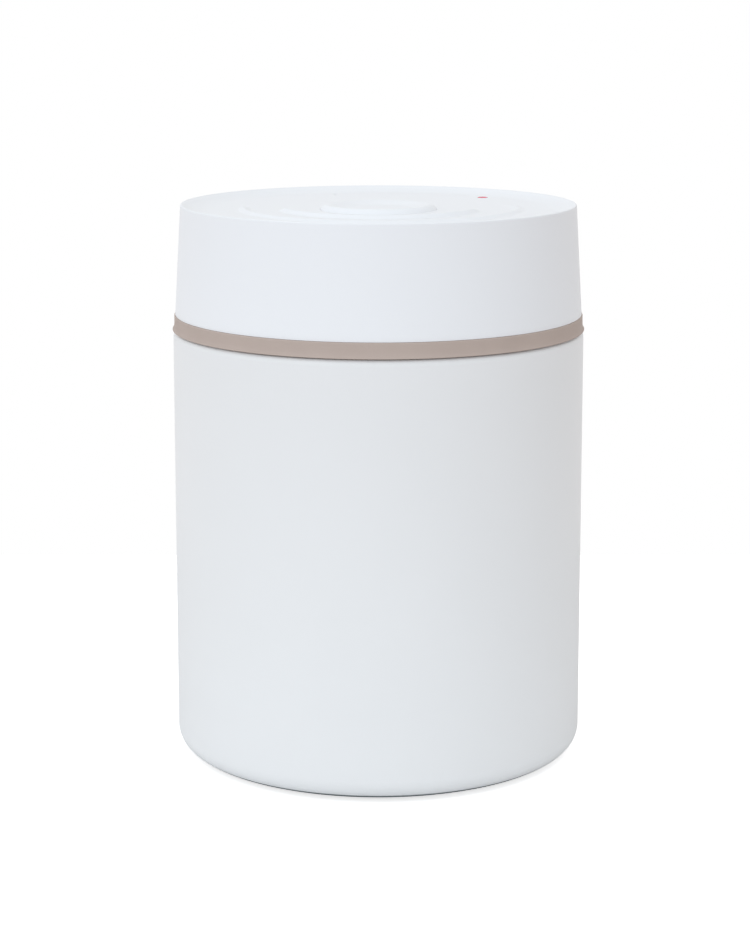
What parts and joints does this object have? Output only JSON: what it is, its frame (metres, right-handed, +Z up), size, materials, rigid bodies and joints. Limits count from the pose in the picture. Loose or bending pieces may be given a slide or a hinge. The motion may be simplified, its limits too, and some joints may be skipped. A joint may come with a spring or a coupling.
{
  "type": "vacuum canister",
  "caption": "Round white steel storage canister with a taupe seal band and a lift-off electric vacuum-pump lid: rippled dish top, centre push button, red lamp.",
  "frame": {"origin": "centre of the underside, on the surface the canister stands on", "axes": "+Z up through the button, -Y the front, +Y the side with the charging socket"},
  "size_m": [0.1104, 0.1104, 0.1487],
  "materials": {
    "white_coat": "satin powder coat",
    "brushed_steel": "brushed",
    "white_plastic": "fine satin moulding",
    "grey_plastic": "matt moulding",
    "black_plastic": "matt moulding",
    "taupe_silicone": "matt silicone",
    "dark_rubber": "matt rubber",
    "clear_silicone": "translucent silicone",
    "bright_steel": "plated",
    "board": "solder mask",
    "cell_sleeve": "shrink sleeve",
    "red_window": "clear tinted",
    "foam": "closed-cell foam",
    "lead_sleeve": "insulated wire"
  },
  "bodies": {
    "canister": {"outer_shell": "white_coat", "inner_liner": "brushed_steel", "base_cap": "grey_plastic", "foot_ring": "dark_rubber"},
    "lid": {"lid_cover": "white_plastic", "lid_tray": "grey_plastic", "seal_band": "taupe_silicone", "button_dome": "dark_rubber", "release_spring": "bright_steel", "motor": "bright_steel", "crankcase": "black_plastic", "pump_diaphragm": "dark_rubber", "pump_head": "black_plastic", "pump_clamp": "bright_steel", "suction_hose": "clear_silicone", "valve_cap": "grey_plastic", "check_valve": "clear_silicone", "filter_cap": "grey_plastic", "filter_sheet": "brushed_steel", "battery_cell": "cell_sleeve", "battery_pad": "foam", "circuit_board": "board", "charge_socket": "bright_steel", "status_lamp": "clear_silicone", "lamp_window": "red_window", "battery_lead": "lead_sleeve", "motor_lead": "lead_sleeve", "cover_screw_1": "bright_steel", "cover_screw_2": "bright_steel", "cover_screw_3": "bright_steel", "cover_screw_4": "bright_steel", "board_screw_1": "bright_steel", "board_screw_2": "bright_steel", "board_screw_3": "bright_steel", "clamp_screw_1": "bright_steel", "clamp_screw_2": "bright_steel"},
    "button": {"button_cap": "white_plastic"},
    "release": {"release_pin": "grey_plastic", "release_seal": "dark_rubber"},
    "rotor": {"crank": "bright_steel"}
  },
  "joints": [
    {"name": "lid_lift", "type": "slide", "parent": "canister", "child": "lid", "axis": [0, 0, 1], "range_m": [0, 0.06]},
    {"name": "button_press", "type": "slide", "parent": "lid", "child": "button", "axis": [0, 0, -1], "range_m": [0, 0.0015], "stiffness_N_per_m": 1500, "springref_m": -0.001, "deforming": ["button_dome"]},
    {"name": "release_open", "type": "slide", "parent": "lid", "child": "release", "axis": [0, 0, -1], "range_m": [0, 0.0015], "stiffness_N_per_m": 600, "springref_m": -0.002, "deforming": ["release_spring"]},
    {"name": "motor_spin", "type": "hinge", "parent": "lid", "child": "rotor", "pos_m": [0, 0.02671, 0.1195], "axis": [1, 0, 0], "continuous": true}
  ],
  "couplings": [
    {"joint": "release_open", "follows": "button_press", "ratio": 1}
  ]
}
